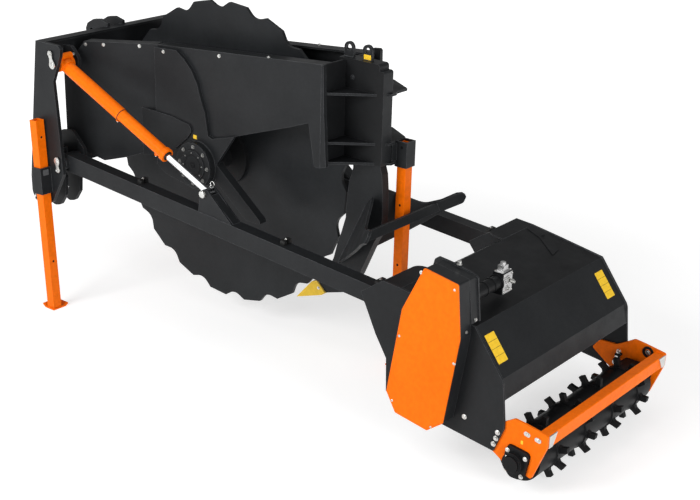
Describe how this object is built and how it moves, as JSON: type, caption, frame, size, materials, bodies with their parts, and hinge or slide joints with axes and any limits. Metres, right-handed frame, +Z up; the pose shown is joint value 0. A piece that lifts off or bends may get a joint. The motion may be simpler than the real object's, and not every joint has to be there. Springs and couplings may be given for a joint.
{
  "type": "mounted forestry ripper plough with mulching head",
  "caption": "Three-point forestry ripper plough: scalloped coulter disc, ripper tine with mouldboards, and a hinged mulcher head with packer roller.",
  "frame": {"origin": "middle of the bounding box on the ground", "axes": "+Y forward to the tractor, +X to the right hand looking forward, +Z up"},
  "size_m": [1.537, 4.1608, 2.1467],
  "materials": {
    "charcoal_paint": "satin",
    "orange_paint": "gloss",
    "yellow_paint": "satin",
    "chrome_rod": "polished",
    "zinc_pin": "satin",
    "axle_steel": "satin",
    "motor_metal": "matte"
  },
  "bodies": {
    "frame": {"headstock_side_left": "charcoal_paint", "headstock_side_right": "charcoal_paint", "top_cross_beam": "charcoal_paint", "lower_cross_beam": "charcoal_paint", "top_link_bracket": "charcoal_paint", "lower_link_ears": "charcoal_paint", "side_panel_left": "charcoal_paint", "side_panel_right": "charcoal_paint", "front_shield_left": "charcoal_paint", "front_shield_right": "charcoal_paint", "hub_plate_left": "charcoal_paint", "hub_plate_right": "charcoal_paint", "hub_housing_left": "charcoal_paint", "hub_housing_right": "charcoal_paint", "ripper_carrier": "charcoal_paint", "lifting_lugs": "charcoal_paint", "ripper_shank": "charcoal_paint", "ripper_point": "yellow_paint", "mouldboard_left": "charcoal_paint", "mouldboard_right": "charcoal_paint", "mouldboard_tie_bar": "charcoal_paint", "front_stand_sleeves": "charcoal_paint", "rear_stand_bracket": "charcoal_paint", "frame_pins": "zinc_pin"},
    "disc": {"coulter_disc": "charcoal_paint", "disc_axle": "axle_steel"},
    "arm": {"beam_left": "charcoal_paint", "beam_right": "charcoal_paint", "beam_spacers": "charcoal_paint", "hood_side_left": "charcoal_paint", "hood_side_right": "charcoal_paint", "mulcher_hood": "charcoal_paint", "hood_front_tube": "charcoal_paint", "hood_gussets": "charcoal_paint", "belt_guard": "orange_paint", "guard_box": "charcoal_paint", "motor_mount": "charcoal_paint", "hydraulic_motor": "motor_metal", "rotor_bearings": "charcoal_paint", "roller_plate_left": "orange_paint", "roller_plate_right": "orange_paint", "roller_crossbar": "orange_paint", "crossbar_clips": "zinc_pin", "roller_bearings": "charcoal_paint", "rod_pins": "zinc_pin"},
    "rotor": {"mulcher_rotor": "charcoal_paint"},
    "roller": {"packer_roller": "charcoal_paint"},
    "barrel_left": {"cylinder_barrel_left": "orange_paint"},
    "barrel_right": {"cylinder_barrel_right": "orange_paint"},
    "rod_left": {"cylinder_rod_left": "chrome_rod"},
    "rod_right": {"cylinder_rod_right": "chrome_rod"},
    "stand_front_left": {"front_stand_left": "orange_paint"},
    "stand_front_right": {"front_stand_right": "orange_paint"},
    "stand_rear": {"rear_stand": "orange_paint"}
  },
  "joints": [
    {"name": "disc_spin", "type": "hinge", "parent": "frame", "child": "disc", "pos_m": [0.0115, 0.8166, 1.147], "axis": [1, 0, 0], "continuous": true},
    {"name": "head_lift", "type": "hinge", "parent": "frame", "child": "arm", "pos_m": [0.0115, 1.7216, 1.037], "axis": [-1, 0, 0], "range_deg": [-4, 24]},
    {"name": "rotor_spin", "type": "hinge", "parent": "arm", "child": "rotor", "pos_m": [0.0115, -1.3134, 0.4], "axis": [1, 0, 0], "continuous": true},
    {"name": "roller_spin", "type": "hinge", "parent": "arm", "child": "roller", "pos_m": [0.0115, -1.8924, 0.188], "axis": [1, 0, 0], "continuous": true},
    {"name": "barrel_tilt_left", "type": "hinge", "parent": "frame", "child": "barrel_left", "pos_m": [-0.5585, 1.7316, 1.69], "axis": [-1, 0, 0], "range_deg": [-3.55, 20.75]},
    {"name": "rod_slide_left", "type": "slide", "parent": "barrel_left", "child": "rod_left", "axis": [0, -0.9131, -0.4077], "range_m": [-0.2625, 0.0447]},
    {"name": "barrel_tilt_right", "type": "hinge", "parent": "frame", "child": "barrel_right", "pos_m": [0.5815, 1.7316, 1.69], "axis": [-1, 0, 0], "range_deg": [-3.55, 20.75]},
    {"name": "rod_slide_right", "type": "slide", "parent": "barrel_right", "child": "rod_right", "axis": [0, -0.9131, -0.4077], "range_m": [-0.2625, 0.0447]},
    {"name": "front_stand_slide_left", "type": "slide", "parent": "frame", "child": "stand_front_left", "axis": [0, 0.0581, 0.9983], "range_m": [0, 0.45]},
    {"name": "front_stand_slide_right", "type": "slide", "parent": "frame", "child": "stand_front_right", "axis": [0, 0.0581, 0.9983], "range_m": [0, 0.45]},
    {"name": "rear_stand_slide", "type": "slide", "parent": "frame", "child": "stand_rear", "axis": [0, 0, 1], "range_m": [0, 0.45]}
  ],
  "couplings": [
    {"joint": "barrel_tilt_left", "follows": "head_lift", "ratio": 0.8593},
    {"joint": "rod_slide_left", "follows": "head_lift", "m_per_rad": -0.62283},
    {"joint": "barrel_tilt_right", "follows": "head_lift", "ratio": 0.8593},
    {"joint": "rod_slide_right", "follows": "head_lift", "m_per_rad": -0.62283}
  ]
}
